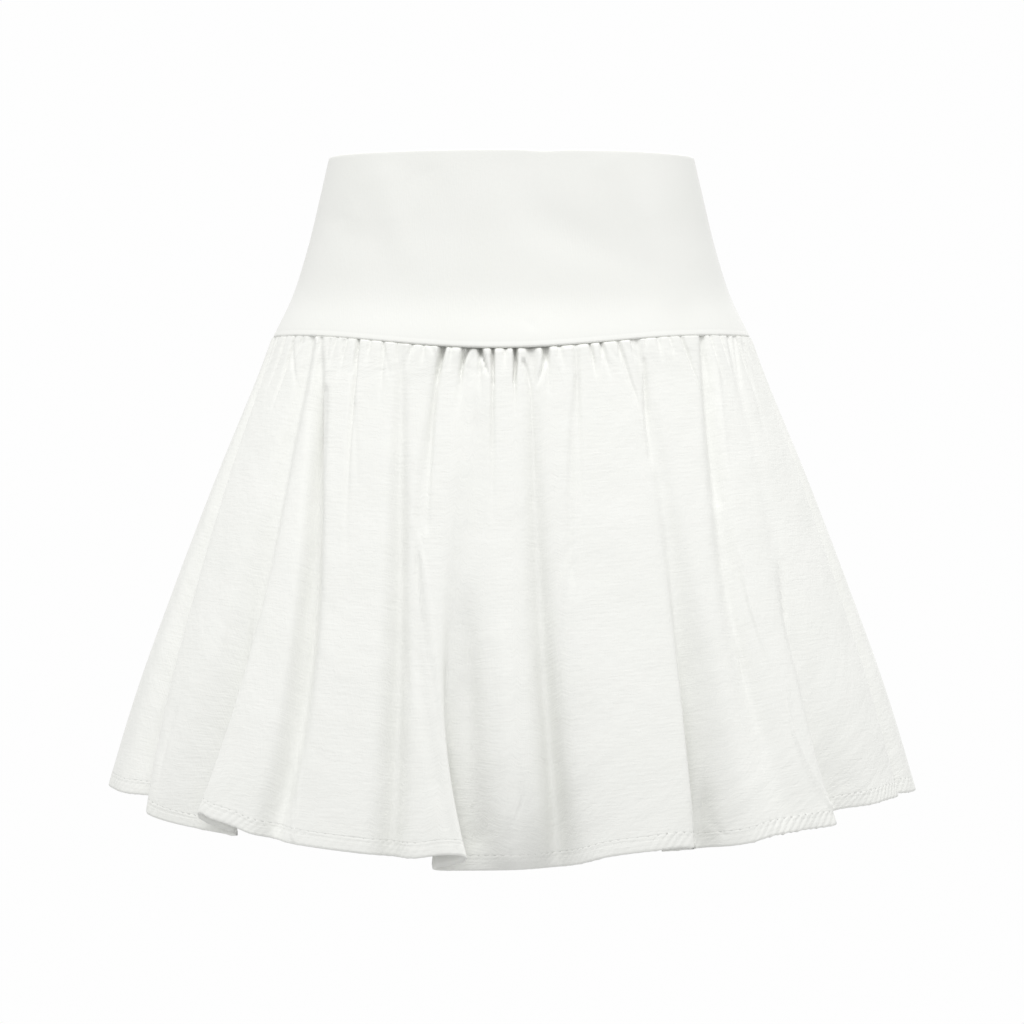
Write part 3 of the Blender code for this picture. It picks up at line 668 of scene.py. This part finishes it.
def mesh_piece(name, points, faces, material, flat=None):
    """A piece of the scene from points and faces, with its map of the flat cloth."""
    mesh = bpy.data.meshes.new(name)
    mesh.from_pydata(points.tolist(), [], faces)
    if flat is not None:
        corners = np.empty(len(mesh.loops), dtype=int)
        mesh.loops.foreach_get("vertex_index", corners)
        mesh.uv_layers.new(name="cloth").data.foreach_set("uv", flat[corners].ravel())
    mesh.materials.append(material)
    mesh.shade_smooth()
    mesh.validate()
    piece = bpy.data.objects.new(name, mesh)
    bpy.context.scene.collection.objects.link(piece)
    return piece


def flounce_face(columns, rows, first, last):
    """Outer face of the flounce with its creases and puckers, and its normals."""
    angle, below = np.meshgrid(columns, rows)
    face = flounce_point(angle, below)
    normal = unit_normals(face)
    shown = (ease(np.abs(normal[..., 1]), CREASE_EDGE_ON, CREASE_FACING)
             * ease(below, -CREASE_TOP, CREASE_TOP))
    outward = ellipse(angle, face[..., 2], 1.0) - ellipse(angle, face[..., 2])
    face = face - outward * (crease_depth(face, CREASES) * shown)[..., None]
    normal = unit_normals(face)
    pucker = hem_pucker(face, hem_length(angle, first, last), below)
    face = face + normal * pucker[..., None]
    return face, unit_normals(face), below


def flounce_panel(name, first, last, material):
    """The gathered cloth from under the yoke down to the turned hem."""
    columns = panel_angles(first, last, FLOUNCE_COLUMNS, flounce_ring(FLOUNCE_ROWS[-1]))
    face, normal, _ = flounce_face(columns, FLOUNCE_ROWS, first, last)
    inner = face - normal * FLOUNCE_WALL
    return shell(name, face[:, 1:-1], inner[:, 1:-1], (2, 2), material)


def hem_band(name, first, last, material):
    """The turned hem, a doubled band, and the places of its stitches."""
    columns = panel_angles(first, last, HEM_COLUMNS, flounce_ring(HEM_ROWS[-1]))
    face, normal, below = flounce_face(columns, HEM_ROWS, first, last)
    inside = below - HEM_TOP
    risen = ease(inside, -HEM_OVERLAP, HEM_STEP)
    raised = HEM_PROUD * ((1.0 + HEM_SUNK) * risen - HEM_SUNK)
    groove = STITCH_GROOVE * np.exp(-((inside - HEM_STITCH_DOWN) / GROOVE_HALF) ** 2)
    rounding = EDGE_ROUND * HEM_EDGE_SHARE * ease(
        below, FLOUNCE_LENGTH - EDGE_ROUND * HEM_EDGE_REACH, FLOUNCE_LENGTH)
    wall = FLOUNCE_WALL + (HEM_WALL - FLOUNCE_WALL) * risen
    outer = face + normal * (raised - groove - rounding)[..., None]
    inner = outer - normal * (wall - 2.0 * rounding)[..., None]
    row = int(np.argmin(np.abs(inside[:, 0] - HEM_STITCH_DOWN)))
    line = outer[row, 1:-1].copy(), normal[row, 1:-1].copy()
    return shell(name, outer[:, 1:-1], inner[:, 1:-1], (4, 4), material), line


def stitches(name, line, material):
    """A row of small stitches along a line on the cloth, as one piece.

    Each is a spindle of six points: its ends dip into the cloth, and four lie round its middle.
    """
    points, normals = line
    length = run_length(points)
    starts = np.arange(STITCH_PITCH, length[-1] - STITCH_PITCH, STITCH_PITCH)

    def at(places, values):
        return np.stack([np.interp(places, length, values[:, axis]) for axis in range(3)], -1)

    centre, out = at(starts, points), at(starts, normals)
    ahead = at(starts + STITCH_LONG / 2, points) - at(starts - STITCH_LONG / 2, points)
    ahead = ahead / np.linalg.norm(ahead, axis=-1, keepdims=True)
    side = np.cross(out, ahead)
    corners = np.stack([
        centre - ahead * STITCH_LONG / 2 - out * STITCH_WIDE / 3,
        centre + side * STITCH_WIDE / 2, centre + out * STITCH_WIDE / 2,
        centre - side * STITCH_WIDE / 2, centre - out * STITCH_WIDE / 2,
        centre + ahead * STITCH_LONG / 2 - out * STITCH_WIDE / 3], 1)
    ring = ((1, 2), (2, 3), (3, 4), (4, 1))
    faces = []
    for first in range(0, corners.shape[0] * corners.shape[1], corners.shape[1]):
        for one, two in ring:
            faces.append([first, first + two, first + one])
            faces.append([first + 5, first + one, first + two])
    return mesh_piece(name, corners.reshape(-1, 3), faces, material)


def waist_height(angle):
    """The waist edge: a little higher in front, with one small dip."""
    front = np.maximum(np.cos(np.radians(angle)), 0.0)
    dip = np.exp(-(around(angle, WAIST_DIP_AT) / WAIST_DIP_HALF) ** 2)
    return WAIST_CROWN * np.sqrt(front) - WAIST_DIP * dip


def yoke_panel(name, first, last, material):
    """The smooth doubled yoke, folded at the waist and rolled at its lower edge."""
    angle = panel_angles(first, last, YOKE_COLUMNS, lambda angle: ellipse(angle, SEAM_AT_SIDE))
    lower = seam_height(angle)
    height = np.concatenate([(lower + YOKE_EDGE_ROWS[0] + YOKE_ROW_STEP) * YOKE_ROW_SHARES[:, None],
                             lower + YOKE_EDGE_ROWS[:, None]])
    face = ellipse(np.broadcast_to(angle, height.shape), height)
    normal = unit_normals(face)
    face = face - normal * crease_depth(face, YOKE_DRAPE)[..., None]
    up = height - lower
    face[..., 2] += waist_height(angle) * up / -lower
    normal = unit_normals(face)
    roll = np.sqrt(np.clip(1.0 - ((up - LIP_HEIGHT * 0.5) / (LIP_HEIGHT * 0.5)) ** 2, 0.0, 1.0))
    groove = EDGE_STITCH_DEEP * np.exp(-((up - EDGE_STITCH_UP) / GROOVE_HALF) ** 2)
    rounding = (EDGE_ROUND * (1.0 - ease(-height, 0.0, EDGE_ROUND))
                + EDGE_ROUND * (1.0 - ease(up, 0.0, EDGE_ROUND)))
    outer = face + normal * (LIP_PROUD * roll - groove - rounding)[..., None]
    inner = face - normal * (YOKE_WALL - rounding)[..., None]
    return shell(name, outer[:, 1:-1], inner[:, 1:-1], (1, 2), material)


# ------------------------------------------------------------------ materials
def new_material(name):
    material = bpy.data.materials.new(name)
    material.use_nodes = True
    tree = material.node_tree
    return material, tree, tree.nodes["Principled BSDF"]


def noise_node(tree, vector, detail, roughness=0.5):
    node = tree.nodes.new("ShaderNodeTexNoise")
    node.inputs["Scale"].default_value = 1.0
    node.inputs["Detail"].default_value = detail
    node.inputs["Roughness"].default_value = roughness
    tree.links.new(vector, node.inputs["Vector"])
    return node.outputs["Fac"]


def stretched(tree, vector, across, down):
    """Coordinates in metres, multiplied across and down the cloth."""
    node = tree.nodes.new("ShaderNodeMapping")
    node.inputs["Scale"].default_value = (across, down, 1.0)
    tree.links.new(vector, node.inputs["Vector"])
    return node.outputs["Vector"]


def math_node(tree, operation, first, second):
    node = tree.nodes.new("ShaderNodeMath")
    node.operation = operation
    for socket, value in zip(node.inputs, (first, second)):
        if isinstance(value, (int, float)):
            socket.default_value = value
        else:
            tree.links.new(value, socket)
    return node.outputs["Value"]


def bump_node(tree, height, distance, strength, below=None):
    node = tree.nodes.new("ShaderNodeBump")
    node.inputs["Distance"].default_value = distance
    node.inputs["Strength"].default_value = strength
    tree.links.new(height, node.inputs["Height"])
    if below is not None:
        tree.links.new(below, node.inputs["Normal"])
    return node.outputs["Normal"]


def colour_between(tree, factor, dark, light):
    """From the dark to the light colour over the middle of the noise's range."""
    node = tree.nodes.new("ShaderNodeValToRGB")
    for stop, position, colour in zip(node.color_ramp.elements, (0.3, 0.7), (dark, light)):
        stop.position = position
        stop.color = (*colour, 1.0)
    tree.links.new(factor, node.inputs["Fac"])
    return node.outputs["Color"]


def cloth_map(tree):
    node = tree.nodes.new("ShaderNodeUVMap")
    node.uv_map = "cloth"
    return node.outputs["UV"]


def flounce_material():
    """Plain-woven cotton: slubs across it, a fine weave and soft washed creases."""
    material, tree, shader = new_material("flounce_cotton")
    cloth = cloth_map(tree)
    slub = noise_node(tree, stretched(tree, cloth, 70.0, 620.0), detail=4.0, roughness=0.6)
    warp = noise_node(tree, stretched(tree, cloth, 900.0, 60.0), detail=2.0)
    crumple = noise_node(tree, stretched(tree, cloth, 38.0, 30.0), detail=5.0, roughness=0.55)
    mottle = noise_node(tree, stretched(tree, cloth, 16.0, 22.0), detail=3.0)
    colour = colour_between(tree, mottle, COTTON_DARK, COTTON_LIGHT)
    tree.links.new(colour, shader.inputs["Base Color"])
    weave = math_node(tree, "ADD", slub, math_node(tree, "MULTIPLY", warp, 0.5))
    coarse = bump_node(tree, crumple, distance=0.0016, strength=0.7)
    fine = bump_node(tree, weave, distance=0.00025, strength=0.9, below=coarse)
    tree.links.new(fine, shader.inputs["Normal"])
    rough = math_node(tree, "ADD", math_node(tree, "MULTIPLY", slub, 0.12), 0.76)
    tree.links.new(rough, shader.inputs["Roughness"])
    shader.inputs["Sheen Weight"].default_value = 0.12
    shader.inputs["Sheen Roughness"].default_value = 0.5
    shader.inputs["Specular IOR Level"].default_value = 0.25
    return material


def yoke_material():
    """Smooth firm doubled knit: a very fine rib down it and a soft sheen."""
    material, tree, shader = new_material("yoke_knit")
    cloth = cloth_map(tree)
    rib = noise_node(tree, stretched(tree, cloth, 1100.0, 160.0), detail=2.0)
    nap = noise_node(tree, stretched(tree, cloth, 420.0, 420.0), detail=3.0, roughness=0.6)
    mottle = noise_node(tree, stretched(tree, cloth, 14.0, 18.0), detail=3.0)
    colour = colour_between(tree, mottle, KNIT_DARK, KNIT_LIGHT)
    tree.links.new(colour, shader.inputs["Base Color"])
    height = math_node(tree, "ADD", rib, math_node(tree, "MULTIPLY", nap, 0.7))
    fine = bump_node(tree, height, distance=0.00012, strength=0.6)
    tree.links.new(fine, shader.inputs["Normal"])
    rough = math_node(tree, "ADD", math_node(tree, "MULTIPLY", nap, 0.10), 0.58)
    tree.links.new(rough, shader.inputs["Roughness"])
    shader.inputs["Sheen Weight"].default_value = 0.15
    shader.inputs["Sheen Roughness"].default_value = 0.4
    shader.inputs["Specular IOR Level"].default_value = 0.3
    return material


def floor_material():
    material, tree, shader = new_material("studio_floor")
    shader.inputs["Base Color"].default_value = (*FLOOR_GREY, 1.0)
    shader.inputs["Roughness"].default_value = 0.9
    return material


# ------------------------------------------------------------------ the stage
def build_camera():
    data = bpy.data.cameras.new("camera")
    data.sensor_width = CAMERA_SENSOR
    data.lens = CAMERA_SENSOR * CAMERA_DISTANCE / (VIEW_PIXELS * PIXEL)
    data.clip_end = CAMERA_CLIP
    camera = bpy.data.objects.new("camera", data)
    camera.location = (CAMERA_ASIDE, -CAMERA_DISTANCE, CAMERA_HEIGHT)
    camera.rotation_euler = (math.radians(90.0), 0.0, 0.0)
    bpy.context.scene.collection.objects.link(camera)
    bpy.context.scene.camera = camera


def soft_box(box):
    data = bpy.data.lights.new(box.name, "AREA")
    data.shape = "SQUARE"
    data.size = box.width
    data.energy = box.power
    light = bpy.data.objects.new(box.name, data)
    light.location = box.place
    aim = Vector(SOFT_BOX_TARGET) - Vector(box.place)
    light.rotation_euler = aim.to_track_quat("-Z", "Y").to_euler()
    bpy.context.scene.collection.objects.link(light)


def build_world():
    """White behind the skirt; a dimmer, even light from all round on it."""
    world = bpy.data.worlds.new("studio")
    world.use_nodes = True
    tree = world.node_tree
    around_it, behind = tree.nodes["Background"], tree.nodes.new("ShaderNodeBackground")
    for white, strength in ((around_it, AMBIENT), (behind, BACKDROP)):
        white.inputs["Color"].default_value = (1.0, 1.0, 1.0, 1.0)
        white.inputs["Strength"].default_value = strength
    path = tree.nodes.new("ShaderNodeLightPath")
    mix = tree.nodes.new("ShaderNodeMixShader")
    tree.links.new(path.outputs["Is Camera Ray"], mix.inputs[0])
    tree.links.new(around_it.outputs[0], mix.inputs[1])
    tree.links.new(behind.outputs[0], mix.inputs[2])
    tree.links.new(mix.outputs[0], tree.nodes["World Output"].inputs["Surface"])
    bpy.context.scene.world = world


def build_stage():
    build_world()
    for box in SOFT_BOXES:
        soft_box(box)
    bpy.ops.mesh.primitive_circle_add(vertices=96, radius=FLOOR_RADIUS, fill_type="NGON",
                                      location=(0.0, 0.0, FLOOR_HEIGHT))
    floor = bpy.context.object
    floor.name = "floor"
    floor.data.materials.append(floor_material())


def main():
    bpy.context.scene.view_settings.view_transform = "Standard"
    build_camera()
    build_stage()
    cotton, knit = flounce_material(), yoke_material()
    for side, first, last in PANELS:
        flounce = flounce_panel(f"flounce_{side}", first, last, cotton)
        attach(flounce, "root")
        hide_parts(f"skirt_{side}")
        hem, stitch_line = hem_band(f"hem_{side}", first, last, cotton)
        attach(hem, "root")
        thread = stitches(f"hem_stitches_{side}", stitch_line, cotton)
        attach(thread, "root")
        yoke = yoke_panel(f"yoke_{side}_cloth", first, last, knit)
        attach(yoke, "root")
        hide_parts(f"yoke_{side}")


main()
